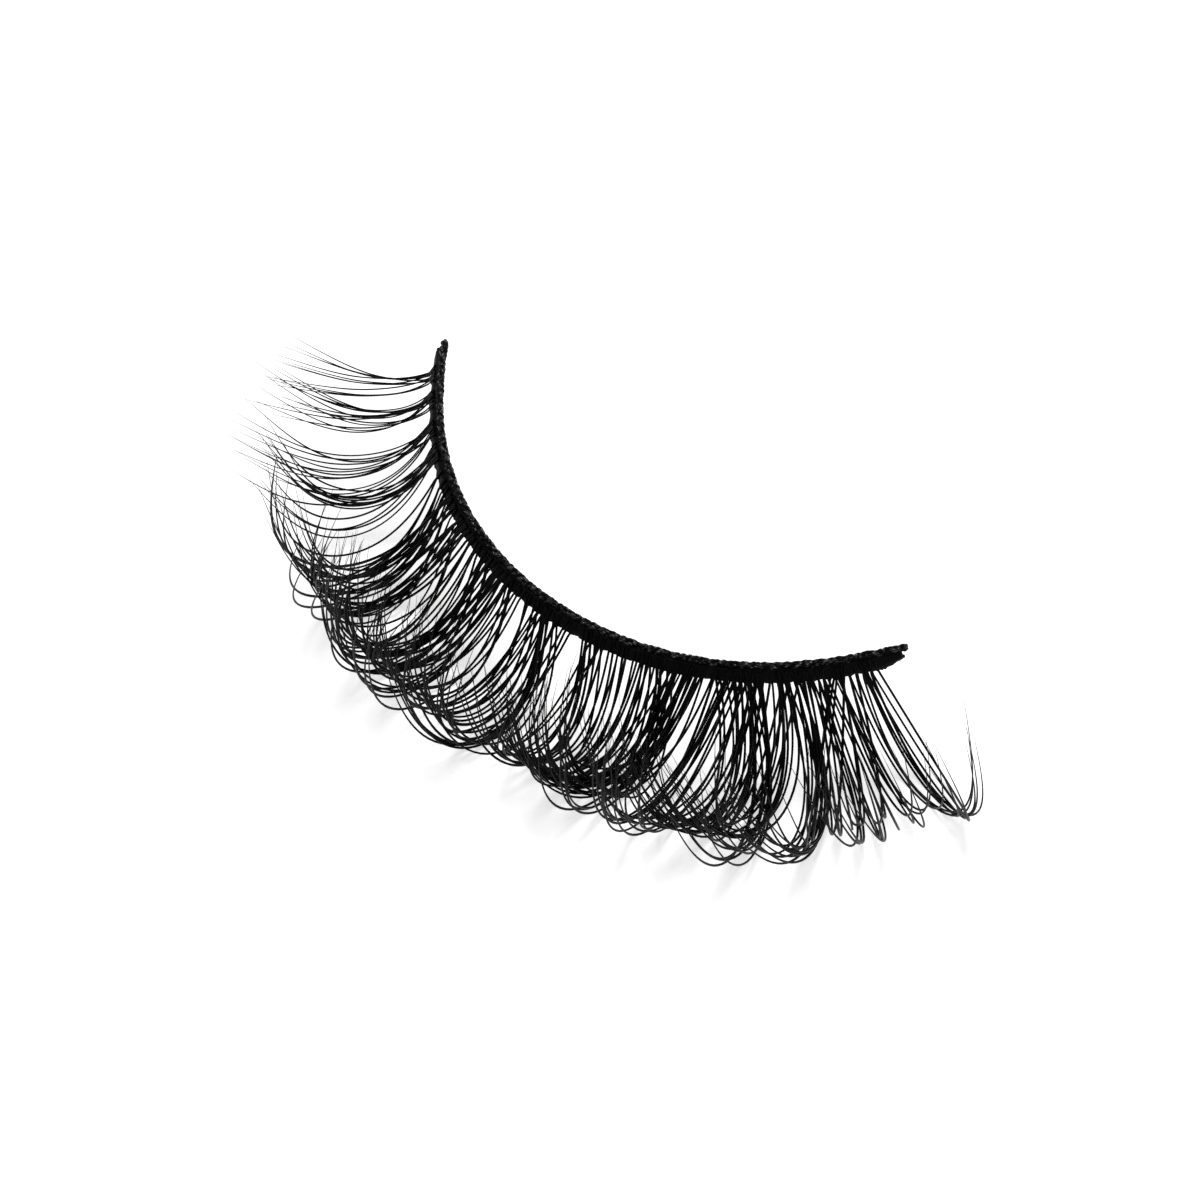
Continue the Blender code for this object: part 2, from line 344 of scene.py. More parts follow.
def add_node(tree, kind, values=(), **settings):
    """Adds a node. Its values are numbers for its inputs, or the nodes or sockets linked to them."""
    node = tree.nodes.new(kind)
    for name, setting in settings.items():
        setattr(node, name, setting)
    inputs = [socket for socket in node.inputs if socket.enabled]
    by_name = {socket.name: socket for socket in reversed(inputs)}
    pairs = values.items() if isinstance(values, dict) else enumerate(values)
    for key, value in pairs:
        socket = by_name[key] if isinstance(key, str) else inputs[key]
        if isinstance(value, bpy.types.Node):
            value = next(output for output in value.outputs if output.enabled)
        if isinstance(value, bpy.types.NodeSocket):
            tree.links.new(value, socket)
        else:
            socket.default_value = value
    return node


def new_material(name):
    """A material with an empty tree, what adds a node to it, and the place that patterns read."""
    material = bpy.data.materials.new(name)
    material.use_nodes = True
    material.node_tree.nodes.clear()
    node = partial(add_node, material.node_tree)
    return material, node, node("ShaderNodeTexCoord").outputs["Object"]


def show_surface(node, finish):
    """Ends a material: one shader with its finish, on the surface."""
    shader = node("ShaderNodeBsdfPrincipled", finish)
    node("ShaderNodeOutputMaterial", {"Surface": shader})


def make_fibre_material(finish):
    """Polyester fibre, drawn smooth, then cut and curled by heat.

    To the eye it is a near-black line with hardly any sheen, a trace greyer towards its fine tip,
    and no two fibres are quite the same black.
    """
    material, node, position = new_material("heat_curled_polyester_fibre")
    along = node("ShaderNodeAttribute", attribute_name="along").outputs["Fac"]
    tone = node("ShaderNodeAttribute", attribute_name="tone").outputs["Fac"]
    # Drawing marks about 0.05 mm apart, coarser than real ones so that they show
    marks = node(NOISE, {"Vector": position, "Scale": 1 / (0.05 * MM), "Detail": 2.0})
    fade = node(
        MAP_RANGE, {"Value": along, "From Min": 0.65, "From Max": 1.0},
        interpolation_type="SMOOTHSTEP")
    colour = node("ShaderNodeMix", {
        "Factor": fade, "A": (*finish.fibre_root, 1.0), "B": (*finish.fibre_tip, 1.0)},
        data_type="RGBA")
    shade = node(MAP_RANGE, {"Value": tone, "To Min": 0.6, "To Max": 1.5})
    tinted = node(VECTOR_MATH, {0: colour, "Scale": shade}, operation="SCALE")
    rough = node(MAP_RANGE, {"Value": marks, "To Min": 0.30, "To Max": 0.46})
    bump = node("ShaderNodeBump", {"Height": marks, "Strength": 0.12, "Distance": 0.004 * MM})
    show_surface(node, {
        "Base Color": tinted, "Roughness": rough, "Normal": bump,
        "IOR": 1.57, "Specular IOR Level": 0.08})
    return material


def make_thread_material():
    """Cotton thread, twisted and waxed.

    To the eye it is matt black, and glints only in small spots where the wax lies smooth.
    """
    material, node, position = new_material("twisted_waxed_cotton")
    # Wax lies in patches and spots about 0.2 mm wide and in lumps about 0.16 mm apart. Cotton
    # hairs are about 0.015 mm wide, drawn at 0.03 mm so that they show
    patches = node(NOISE, {"Vector": position, "Scale": 1 / (0.2 * MM), "Detail": 3.0})
    spots = node(NOISE, {"Vector": position, "Scale": 1 / (0.20 * MM), "Detail": 2.0})
    hairs = node(NOISE, {"Vector": position, "Scale": 1 / (0.03 * MM), "Detail": 4.0})
    lumps = node("ShaderNodeTexVoronoi", {"Vector": position, "Scale": 1 / (0.16 * MM)})
    colour = node("ShaderNodeMix", {
        "Factor": patches, "A": (*linear("#030304"), 1.0), "B": (*linear("#09090c"), 1.0)},
        data_type="RGBA")
    smooth_wax = {"Value": spots, "From Min": 0.50, "From Max": 0.58}
    shine = node(MAP_RANGE, smooth_wax | {"To Min": 0.10, "To Max": 1.0})
    rough = node(MAP_RANGE, smooth_wax | {"To Min": 0.50, "To Max": 0.16})
    height = node(MATH, (lumps.outputs["Distance"], hairs), operation="ADD")
    bump = node("ShaderNodeBump", {"Height": height, "Strength": 0.6, "Distance": 0.014 * MM})
    show_surface(node, {
        "Base Color": colour, "Roughness": rough, "Normal": bump,
        "IOR": 1.45, "Specular IOR Level": shine})
    return material


def make_lacquer_material():
    """Black latex lacquer, brushed on wet.

    To the eye it is a dark film with a faint soft gloss that follows the roots under it.
    """
    material, node, position = new_material("brushed_black_latex")
    # The brush leaves waves about 0.25 mm long, and dried latex has grains of about 0.04 mm
    waves = node(NOISE, {"Vector": position, "Scale": 1 / (0.25 * MM), "Detail": 2.0})
    grains = node(NOISE, {"Vector": position, "Scale": 1 / (0.04 * MM), "Detail": 3.0})
    colour = node("ShaderNodeMix", {
        "Factor": waves, "A": (*linear("#010102"), 1.0), "B": (*linear("#05050a"), 1.0)},
        data_type="RGBA")
    rough = node(MAP_RANGE, {
        "Value": waves, "From Min": 0.3, "From Max": 0.7, "To Min": 0.24, "To Max": 0.44})
    height = node(MATH, (waves, grains), operation="ADD")
    bump = node("ShaderNodeBump", {"Height": height, "Strength": 0.35, "Distance": 0.01 * MM})
    show_surface(node, {
        "Base Color": colour, "Roughness": rough, "Normal": bump,
        "IOR": 1.5, "Specular IOR Level": 0.12})
    return material


def make_floor_material(glow):
    """Opal acrylic sheet, cast and lit from below.

    To the eye it is an even white that lightens every shadow.
    """
    material, node, position = new_material("cast_opal_acrylic")
    # The cast sheet's grain is about 0.4 mm wide
    grain = node(NOISE, {"Vector": position, "Scale": 1 / (0.4 * MM), "Detail": 2.0})
    colour = node("ShaderNodeMix", {
        "Factor": grain, "A": (*linear("#f3f3f3"), 1.0), "B": (*linear("#fafafa"), 1.0)},
        data_type="RGBA")
    rough = node(MAP_RANGE, {"Value": grain, "To Min": 0.38, "To Max": 0.48})
    show_surface(node, {
        "Base Color": colour, "Roughness": rough,
        "Emission Color": (*linear("#ffffff"), 1.0), "Emission Strength": glow})
    return material


# What fans and threads share

Lines = namedtuple("Lines", "curves number step last share")
BandPlace = namedtuple("BandPlace", "position along outward down out tilt")


def new_geometry_tree(name, numbers, counts):
    """A tree with a guide and named inputs, what adds a node to it, and what its inputs give."""
    tree = bpy.data.node_groups.new(name, "GeometryNodeTree")
    sockets = [("Guide", "NodeSocketGeometry")]
    sockets += [(number, "NodeSocketFloat") for number in numbers]
    sockets += [(count, "NodeSocketInt") for count in counts]
    sockets.append(("Material", "NodeSocketMaterial"))
    for socket_name, socket_type in sockets:
        tree.interface.new_socket(name=socket_name, in_out="INPUT", socket_type=socket_type)
    tree.interface.new_socket(name="Geometry", in_out="OUTPUT", socket_type="NodeSocketGeometry")
    node = partial(add_node, tree)
    return tree, node, node("NodeGroupInput").outputs


def count_off(node, number, size):
    """Counts a running number off in groups of one size: which group, and which one in it."""
    groups = node(MATH, (number, size), operation="DIVIDE")
    group = node(MATH, (groups,), operation="FLOOR")
    passed = node(MATH, (group, size), operation="MULTIPLY")
    return group, node(MATH, (number, passed), operation="SUBTRACT")


def lay_lines(node, given, amount):
    """As many straight lines as asked for, and each point's line, its step and its share of it."""
    line = node("GeometryNodeCurvePrimitiveLine", {"End": (1.0, 0.0, 0.0)}, mode="POINTS")
    even = node("GeometryNodeResampleCurve", {"Curve": line, "Count": given["Points"]}, mode="COUNT")
    copies = node(
        "GeometryNodeDuplicateElements", {"Geometry": even, "Amount": amount}, domain="SPLINE")
    number, step = count_off(node, node("GeometryNodeInputIndex"), given["Points"])
    last = node(MATH, (given["Points"], 1.0), operation="SUBTRACT")
    share = node(MATH, (step, last), operation="DIVIDE")
    return Lines(copies, number, step, last, share)


def turned(node, start, towards, angle):
    """A direction turned by an angle from one direction towards another that is square to it."""
    cosine = node(MATH, (angle,), operation="COSINE")
    sine = node(MATH, (angle,), operation="SINE")
    kept = node(VECTOR_MATH, {0: start, "Scale": cosine}, operation="SCALE")
    gained = node(VECTOR_MATH, {0: towards, "Scale": sine}, operation="SCALE")
    return node(VECTOR_MATH, (kept, gained), operation="ADD")


def moved(node, point, direction, distance):
    """A point moved a distance along a direction."""
    way = node(VECTOR_MATH, {0: direction, "Scale": distance}, operation="SCALE")
    return node(VECTOR_MATH, (point, way), operation="ADD")


def find_band_place(node, guide, place):
    """The band at a place: its point, the way along it, level outward, down its face and out of it."""
    length = node(MATH, (place, BAND_LENGTH / 2), operation="ADD")
    sample = node(
        "GeometryNodeSampleCurve", {"Curves": guide, "Length": length},
        mode="LENGTH", data_type="FLOAT", use_all_curves=True)
    along = sample.outputs["Tangent"]
    outward = node(VECTOR_MATH, (along, tuple(UP)), operation="CROSS_PRODUCT")
    tilt = node(MAP_RANGE, {
        "Value": place, "From Min": LEFT_TURN_STARTS, "From Max": -BAND_LENGTH / 2,
        "To Min": BAND_TILT, "To Max": BAND_TILT + LEFT_END_EXTRA_TILT})
    down = turned(node, outward, tuple(-UP), tilt)
    out = turned(node, tuple(UP), outward, tilt)
    return BandPlace(sample.outputs["Position"], along, outward, down, out, tilt)


def finish_tree(node, given, curves, thickness):
    """Ends a tree: round tubes along the curves, smooth, made real, with their material."""
    ring = node(
        "GeometryNodeCurvePrimitiveCircle", {"Resolution": given["Sides"], "Radius": 1.0},
        mode="RADIUS")
    tubes = node("GeometryNodeCurveToMesh", {
        "Curve": curves, "Profile Curve": ring, "Scale": thickness, "Fill Caps": True})
    smooth = node("GeometryNodeSetShadeSmooth", {"Geometry": tubes, "Shade Smooth": True})
    real = node("GeometryNodeRealizeInstances", {"Geometry": smooth})
    finished = node("GeometryNodeSetMaterial", {"Geometry": real, "Material": given["Material"]})
    node("NodeGroupOutput", {"Geometry": finished})


# A fan of lashes

def root_fibres(node, given, chance, in_bundle):
    """Where each fibre leaves the band: its bundle's place in the fan, and its own in the bundle."""
    bundle_spread = node(MATH, (chance["bundle place"], given["Root Width"]), operation="MULTIPLY")
    others = node(MATH, (given["Bundle"], 1.0), operation="SUBTRACT")
    half_of_others = node(MATH, (others, 2.0), operation="DIVIDE")
    from_middle = node(MATH, (in_bundle, half_of_others), operation="SUBTRACT")
    shifted = node(MATH, (from_middle, chance["fibre place"]), operation="ADD")
    own_place = node(MATH, (shifted, given["Spacing"]), operation="MULTIPLY")
    bundle_place = node(MATH, (given["Place"], bundle_spread), operation="ADD")
    place = node(MATH, (bundle_place, own_place), operation="ADD")
    band = find_band_place(node, given["Guide"], place)
    on_face = moved(node, band.position, band.down, chance["start depth"])
    return band, moved(node, on_face, band.out, chance["rise"])


def curl_fibres(node, given, chance, lines, band):
    """Each step of a fibre as a vector, and whether it is past the root tab."""
    # The fibre is held by the lacquer first, and free for the rest of its length
    bundle_length = node(MATH, (given["Length"], chance["bundle length"]), operation="MULTIPLY")
    length = node(MATH, (bundle_length, chance["fibre length"]), operation="MULTIPLY")
    tab = node(MATH, (ROOT_END, chance["start depth"]), operation="SUBTRACT")
    whole = node(MATH, (length, tab), operation="ADD")
    stride = node(MATH, (whole, lines.last), operation="DIVIDE")
    mid_step = node(MATH, (lines.step, 0.5), operation="SUBTRACT")
    reached = node(MATH, (mid_step, stride), operation="MULTIPLY")
    is_free = node(MATH, (reached, tab), operation="GREATER_THAN")
    past_tab = node(MATH, (reached, tab), operation="SUBTRACT")
    free_share = node(MATH, (past_tab, length), operation="DIVIDE", use_clamp=True)

    # How much of the curl is behind it: slow at the root and the tip, quick at the curl's middle
    own_middle = node(
        MATH, (chance["bundle curl middle"], chance["fibre curl middle"]), operation="ADD")
    middle = node(MATH, (given["Curl Middle"], own_middle), operation="ADD")
    beyond_middle = node(MATH, (1.0, middle), operation="SUBTRACT")
    from_middle = node(MATH, (free_share, middle), operation="SUBTRACT")
    bends = []
    for reach in (middle, beyond_middle, from_middle):
        sharpened = node(MATH, (reach, CURL_SHARPNESS), operation="MULTIPLY")
        bends.append(node(MATH, (sharpened,), operation="TANH"))
    before, after, here = bends
    so_far = node(MATH, (here, before), operation="ADD")
    in_all = node(MATH, (after, before), operation="ADD")
    curl_share = node(MATH, (so_far, in_all), operation="DIVIDE")
    root_angle = node(MATH, (band.tilt, -1.0), operation="MULTIPLY")
    bundle_tip = node(MATH, (given["Tip Angle"], chance["bundle tip angle"]), operation="ADD")
    tip_angle = node(MATH, (bundle_tip, chance["fibre tip angle"]), operation="ADD")
    whole_bend = node(MATH, (tip_angle, root_angle), operation="SUBTRACT")
    bend = node(MATH, (whole_bend, curl_share), operation="MULTIPLY")

    # It leaves down the face with a lean to one side, and its curl rolls a little to one side
    is_right = node(MATH, (chance["lean side"], 0.5), operation="GREATER_THAN")
    doubled = node(MATH, (is_right, 2.0), operation="MULTIPLY")
    side = node(MATH, (doubled, 1.0), operation="SUBTRACT")
    lean_share = node(MATH, (side, chance["bundle lean"]), operation="MULTIPLY")
    bundle_lean = node(MATH, (lean_share, given["Lean Spread"]), operation="MULTIPLY")
    fan_lean = node(MATH, (bundle_lean, given["Lean"]), operation="ADD")
    lean = node(MATH, (fan_lean, chance["fibre lean"]), operation="ADD")
    bundle_roll = node(MATH, (chance["bundle roll"], given["Roll Spread"]), operation="MULTIPLY")
    fan_roll = node(MATH, (bundle_roll, given["Roll"]), operation="ADD")
    roll = node(MATH, (fan_roll, chance["fibre roll"]), operation="ADD")
    turn = node(MATH, (given["Turn"], is_free), operation="MULTIPLY")
    level = turned(node, band.outward, band.along, turn)
    back = node(VECTOR_MATH, {0: level, "Scale": -1.0}, operation="SCALE")
    across = node(VECTOR_MATH, (tuple(UP), level), operation="CROSS_PRODUCT")
    straight = turned(node, level, tuple(UP), root_angle)
    upright = turned(node, tuple(UP), back, root_angle)
    rearward = node(VECTOR_MATH, {0: straight, "Scale": -1.0}, operation="SCALE")
    leaning = turned(node, straight, across, lean)
    sideways = turned(node, across, rearward, lean)
    curling = turned(node, upright, sideways, roll)
    heading = turned(node, leaning, curling, bend)
    full_step = node(VECTOR_MATH, {0: heading, "Scale": stride}, operation="SCALE")
    has_left = node(MATH, (lines.step, 0.5), operation="GREATER_THAN")
    return node(VECTOR_MATH, {0: full_step, "Scale": has_left}, operation="SCALE"), is_free


def settle_fibres(node, given, chance, lines, start, own_step, is_free):
    """Where each point comes to lie: free falls are scaled so that the belly rests at its lift."""
    parts = node("ShaderNodeSeparateXYZ", (own_step,))
    fall = parts.outputs["Z"]
    downward = node(MATH, (fall, 0.0), operation="MINIMUM")
    free_fall = node(MATH, (downward, is_free), operation="MULTIPLY")
    is_held = node(MATH, (1.0, is_free), operation="SUBTRACT")
    held_fall = node(MATH, (fall, is_held), operation="MULTIPLY")
    total_fall, tab_fall = [
        node("GeometryNodeAccumulateField", (part, lines.number), data_type="FLOAT").outputs["Total"]
        for part in (free_fall, held_fall)]
    start_height = node("ShaderNodeSeparateXYZ", (start,)).outputs["Z"]
    free_height = node(MATH, (start_height, tab_fall), operation="ADD")
    bundle_lift, fibre_lift = [
        node(MATH, (chance[name], 0.0), operation="MAXIMUM")
        for name in ("bundle lift", "fibre lift")]
    own_lift = node(MATH, (bundle_lift, fibre_lift), operation="ADD")
    fan_lift = node(MATH, (given["Lift"], given["Radius"]), operation="ADD")
    lift = node(MATH, (fan_lift, own_lift), operation="ADD")
    wanted_fall = node(MATH, (free_height, lift), operation="SUBTRACT")
    drop = node(MATH, (total_fall, -1.0), operation="MULTIPLY")
    fall_scale = node(MATH, (wanted_fall, drop), operation="DIVIDE")
    goes_down = node(MATH, (fall, 0.0), operation="LESS_THAN")
    is_scaled = node(MATH, (goes_down, is_free), operation="MULTIPLY")
    excess = node(MATH, (fall_scale, 1.0), operation="SUBTRACT")
    own_excess = node(MATH, (is_scaled, excess), operation="MULTIPLY")
    factor = node(MATH, (1.0, own_excess), operation="ADD")
    settled_fall = node(MATH, (fall, factor), operation="MULTIPLY")
    settled_step = node(
        "ShaderNodeCombineXYZ", (parts.outputs["X"], parts.outputs["Y"], settled_fall))
    travelled = node(
        "GeometryNodeAccumulateField", (settled_step, lines.number), data_type="FLOAT_VECTOR")
    return node(VECTOR_MATH, (start, travelled.outputs["Leading"]), operation="ADD")


def build_fan_tree():
    """A fan of curled fibres. The guide is the band's top line."""
    tree, node, given = new_geometry_tree(
        "Lash Fan",
        ("Place", "Root Width", "Length", "Lift", "Tip Angle", "Curl Middle", "Turn", "Lean",
         "Roll", "Spacing", "Lean Spread", "Roll Spread", "Radius", "Tip Share"),
        ("Fibres", "Bundle", "Points", "Sides", "Seed"))
    lines = lay_lines(node, given, given["Fibres"])
    bundle, in_bundle = count_off(node, lines.number, given["Bundle"])
    drawn_for = {"bundle": bundle, "fibre": lines.number}
    chance = {}
    for salt, (name, group, low, high) in enumerate(FAN_DRAWS, start=1):
        seed = node(MATH, (given["Seed"], float(salt)), operation="ADD")
        chance[name] = node("FunctionNodeRandomValue", {
            "Min": low, "Max": high, "ID": drawn_for[group], "Seed": seed}, data_type="FLOAT")
    band, start = root_fibres(node, given, chance, in_bundle)
    own_step, is_free = curl_fibres(node, given, chance, lines, band)
    settled = settle_fibres(node, given, chance, lines, start, own_step, is_free)
    fibres = node("GeometryNodeSetPosition", {"Geometry": lines.curves, "Position": settled})

    # A fibre keeps its thickness past its belly, then tapers to a fine tip
    taper = node(MAP_RANGE, {
        "Value": lines.share, "From Min": TAPER_STARTS, "From Max": 1.0,
        "To Min": 1.0, "To Max": given["Tip Share"]})
    tapered = node(MATH, (taper, given["Radius"]), operation="MULTIPLY")
    thickness = node(MATH, (tapered, chance["girth"]), operation="MULTIPLY")
    for name, value in (("along", lines.share), ("tone", chance["tone"])):
        fibres = node("GeometryNodeStoreNamedAttribute", {
            "Geometry": fibres, "Name": name, "Value": value}, data_type="FLOAT", domain="POINT")
    finish_tree(node, given, fibres, thickness)
    return tree


# A thread

def twist_angle(node, place, pitch, full_turn, number, amount):
    """How far one of several strands has turned at a place, when they start evenly around."""
    turns = node(MATH, (place, pitch), operation="DIVIDE")
    turned_by = node(MATH, (turns, full_turn), operation="MULTIPLY")
    start_share = node(MATH, (number, amount), operation="DIVIDE")
    start_angle = node(MATH, (start_share, math.tau), operation="MULTIPLY")
    return node(MATH, (turned_by, start_angle), operation="ADD")


def build_thread_tree():
    """A thread twisted twice over: strands into plies, and plies around the thread's centre."""
    tree, node, given = new_geometry_tree(
        "Twisted Thread",
        ("Depth", "Half Length", "Thread Radius", "Pitch", "Strand Pitch", "Hand"),
        ("Plies", "Strands", "Points", "Sides", "Seed"))
    amount = node(MATH, (given["Plies"], given["Strands"]), operation="MULTIPLY")
    lines = lay_lines(node, given, amount)
    ply, strand = count_off(node, lines.number, given["Strands"])
    doubled = node(MATH, (lines.share, 2.0), operation="MULTIPLY")
    from_middle = node(MATH, (doubled, 1.0), operation="SUBTRACT")
    place = node(MATH, (from_middle, given["Half Length"]), operation="MULTIPLY")
    band = find_band_place(node, given["Guide"], place)

    # The twist is never quite even: it swells, shrinks and wanders every millimetre or so
    stretches = node(MATH, (place, UNEVEN_LENGTH), operation="DIVIDE")
    own_stretch = node(MATH, (given["Seed"], UNEVEN_SHIFT), operation="MULTIPLY")
    shifted = node(MATH, (stretches, own_stretch), operation="ADD")
    uneven = node(NOISE, {"W": shifted, "Scale": 1.0, "Detail": 1.0}, noise_dimensions="1D")
    swell = node(MAP_RANGE, {
        "Value": uneven, "From Min": 0.3, "From Max": 0.7, "To Min": 0.90, "To Max": 1.08})
    wander = node(MATH, (uneven, UNEVEN_TURN), operation="MULTIPLY")

    # Both twists: a ply's around the thread, and a strand's around its ply, the other way about
    ply_turn, strand_turn = [
        node(MATH, (given["Hand"], full_turn), operation="MULTIPLY")
        for full_turn in (math.tau, -math.tau)]
    ply_twist = twist_angle(node, place, given["Pitch"], ply_turn, ply, given["Plies"])
    strand_twist = twist_angle(
        node, place, given["Strand Pitch"], strand_turn, strand, given["Strands"])
    ply_angle = node(MATH, (ply_twist, wander), operation="ADD")
    strand_angle = node(MATH, (strand_twist, ply), operation="ADD")

    # The ends are pinched where they were cut
    from_centre = node(MATH, (place,), operation="ABSOLUTE")
    end_gap = node(MATH, (given["Half Length"], from_centre), operation="SUBTRACT")
    closing = node(MAP_RANGE, {
        "Value": end_gap, "From Min": 0.0, "From Max": THREAD_END_LENGTH,
        "To Min": 0.72, "To Max": 1.0}, interpolation_type="SMOOTHSTEP")
    fullness = node(MATH, (swell, closing), operation="MULTIPLY")
    radius = node(MATH, (fullness, given["Thread Radius"]), operation="MULTIPLY")

    centre = moved(node, band.position, band.down, given["Depth"])
    for angle, orbit in ((ply_angle, PLY_ORBIT), (strand_angle, STRAND_ORBIT)):
        way = turned(node, band.down, band.out, angle)
        reach = node(MATH, (radius, orbit), operation="MULTIPLY")
        centre = moved(node, centre, way, reach)
    strands = node("GeometryNodeSetPosition", {"Geometry": lines.curves, "Position": centre})
    thickness = node(MATH, (radius, STRAND_RADIUS), operation="MULTIPLY")
    finish_tree(node, given, strands, thickness)
    return tree


# Making pieces

def put_in_scene(name, data):
    """An object of a mesh, a curve, a light or a camera, put in the scene."""
    piece = bpy.data.objects.new(name, data)
    bpy.context.scene.collection.objects.link(piece)
    return piece


def make_guide():
    """The band's top line as a curve, which every tree samples."""
    curve = bpy.data.curves.new("band_top_line", "CURVE")
    curve.dimensions = "3D"
    spline = curve.splines.new("POLY")
    spline.points.add(GUIDE_STEPS)
    for i, point in enumerate(spline.points):
        point.co = (*band_point(BAND_LENGTH * (i / GUIDE_STEPS - 0.5)), 1.0)
    return curve


def grow_piece(name, curve, tree, values):
    """Runs a tree on the guide and keeps its result as a plain mesh."""
    carrier = put_in_scene(name + "_guide", curve)
    modifier = carrier.modifiers.new(tree.name, "NODES")
    modifier.node_group = tree
    inputs = [item for item in tree.interface.items_tree if item.in_out == "INPUT"]
    identifiers = {item.name: item.identifier for item in inputs}
    for key, value in values.items():
        modifier[identifiers[key]] = value
    depsgraph = bpy.context.evaluated_depsgraph_get()
    mesh = bpy.data.meshes.new_from_object(carrier.evaluated_get(depsgraph))
    bpy.data.objects.remove(carrier)
    if not mesh.polygons:
        raise RuntimeError(f"{name} came out empty")
    mesh.name = name
    return put_in_scene(name, mesh)


def lacquer_edge_at(place, edge):
    """How far down the film reaches: further at each fan's roots, and ragged all along."""
    nearest = min(abs(place - fan.place) / (fan.root_width / 2) for fan in FANS)
    between = min(1.0, max(0.0, nearest - 0.9))
    ragged = noise.noise((place / (0.30 * MM), 3.0, 0.0)) * 0.08 * MM
    ragged += noise.noise((place / (0.09 * MM), 9.0, 0.0)) * 0.04 * MM
    return edge - LACQUER_DRAWN_BACK * between + ragged


def lacquer_outline(place, low):
    """The film cut across at a place, as depths down the band's face and heights out of it."""
    rib = noise.noise((place / (0.07 * MM), 0.0, 0.0)) * 0.016 * MM
    wave = noise.noise((place / (0.6 * MM), 5.0, 0.0)) * 0.02 * MM
    crown = LACQUER_CROWN + wave
    reach = low - LACQUER_CROWN_STARTS
    # From between the threads, up and over the roots, to the rolled lower edge and back under it
    return (
        (0.22 * MM, -0.02 * MM),
        (0.26 * MM, 0.10 * MM),
        (0.34 * MM, 0.14 * MM + wave),
        (0.44 * MM, crown - 0.02 * MM + rib * 0.4),
        (LACQUER_CROWN_STARTS + reach * 0.35, crown + 0.012 * MM + rib),
        (LACQUER_CROWN_STARTS + reach * 0.75, crown - 0.005 * MM + rib),
        (low - 0.02 * MM, crown - 0.035 * MM + rib * 0.5),
        (low, crown - 0.075 * MM),
        (low - 0.04 * MM, crown - 0.115 * MM),
        (0.60 * MM, 0.10 * MM),
    )


def make_lacquer(name, edge, material):
    """The film over the fibres' roots: a thin closed strip, ribbed by the fibres under it."""
    first, last = FANS[0].place - LACQUER_TAIL, FANS[-1].place + LACQUER_TAIL
    bm = bmesh.new()
    rings = []
    for i in range(LACQUER_STEPS + 1):
        place = first + (last - first) * i / LACQUER_STEPS
        down, out = face_directions(place)
        origin = band_point(place)
        end_gap = min(place - first, last - place)
        full = min(1.0, 0.15 + end_gap / LACQUER_THINNING)
        low = ROOT_TOP + (lacquer_edge_at(place, edge) - ROOT_TOP) * full ** 0.5
        rings.append([
            bm.verts.new(origin + depth * down + height * out)
            for depth, height in lacquer_outline(place, low)])
    for ring, following in zip(rings, rings[1:]):
        for k in range(len(ring)):
            bm.faces.new((ring[k - 1], ring[k], following[k], following[k - 1]))
    bm.faces.new(rings[0])
    bm.faces.new(rings[-1])
    bmesh.ops.recalc_face_normals(bm, faces=bm.faces)
    mesh = bpy.data.meshes.new(name)
    bm.to_mesh(mesh)
    bm.free()
    mesh.shade_smooth()
    mesh.materials.append(material)
    return put_in_scene(name, mesh)


class LASHSTRIP_OT_threads(bpy.types.Operator):
    """Twists the upper and the lower thread of the band"""

    bl_idname = "lashstrip.threads"
    bl_label = "Twist Threads"

    def execute(self, context):
        band = context.scene.lash_strip.band
        tree = build_thread_tree()
        guide = make_guide()
        common = {
            "Strands": band.strands, "Points": STRAND_POINTS, "Sides": STRAND_SIDES,
            "Thread Radius": STRANDS_PROUD * THREAD_RADIUS, "Material": make_thread_material()}
        upper = grow_piece("upper_thread_strands", guide, tree, common | {
            "Depth": UPPER_DEPTH, "Half Length": BAND_LENGTH / 2,
            "Pitch": band.upper_pitch, "Strand Pitch": STRAND_PITCH_SHARE * band.upper_pitch,
            "Hand": 1.0, "Plies": 3, "Seed": 1})
        lower = grow_piece("lower_thread_strands", guide, tree, common | {
            "Depth": LOWER_DEPTH, "Half Length": BAND_LENGTH / 2 - LOWER_THREAD_SHORTER,
            "Pitch": band.lower_pitch, "Strand Pitch": STRAND_PITCH_SHARE * band.lower_pitch,
            "Hand": -1.0, "Plies": 2, "Seed": 2})
        for piece, node in ((upper, "upper_thread"), (lower, "lower_thread")):
            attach(piece, "root")
            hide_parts(node)
        return {"FINISHED"}


class LASHSTRIP_OT_fans(bpy.types.Operator):
    """Curls the fibres of every fan from one end of the band to the other"""

    bl_idname = "lashstrip.fans"
    bl_label = "Curl Lash Fans"

    def execute(self, context):
        fibres = context.scene.lash_strip.fibres
        tree = build_fan_tree()
        guide = make_guide()
        common = {
            "Tip Share": fibres.tip_share, "Bundle": fibres.bundle, "Points": FIBRE_POINTS,
            "Sides": FIBRE_SIDES,
            "Material": make_fibre_material(context.scene.lash_strip.finish)}
        for number, fan in enumerate(FANS, start=1):
            node = f"lash_fan_{number:02d}"
            # A tidy fan's fibres also stand closer together
            spacing = (0.4 + 0.6 * fan.unruly) * fibres.spacing
            piece = grow_piece(node + "_fibres", guide, tree, common | {
                "Place": fan.place, "Root Width": fan.root_width, "Spacing": spacing,
                "Length": fan.length, "Lift": fan.lift, "Curl Middle": fan.middle,
                "Tip Angle": math.radians(fan.tip_angle), "Turn": math.radians(fan.turn),
                "Lean": math.radians(fan.lean), "Lean Spread": fan.unruly * fibres.lean,
                "Roll": math.radians(fan.roll), "Roll Spread": fan.unruly * fibres.roll,
                "Radius": fan.girth * fibres.diameter / 2, "Fibres": fan.fibres,
                "Seed": SEED_STEP * number})
            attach(piece, "root")
            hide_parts(node)
        return {"FINISHED"}


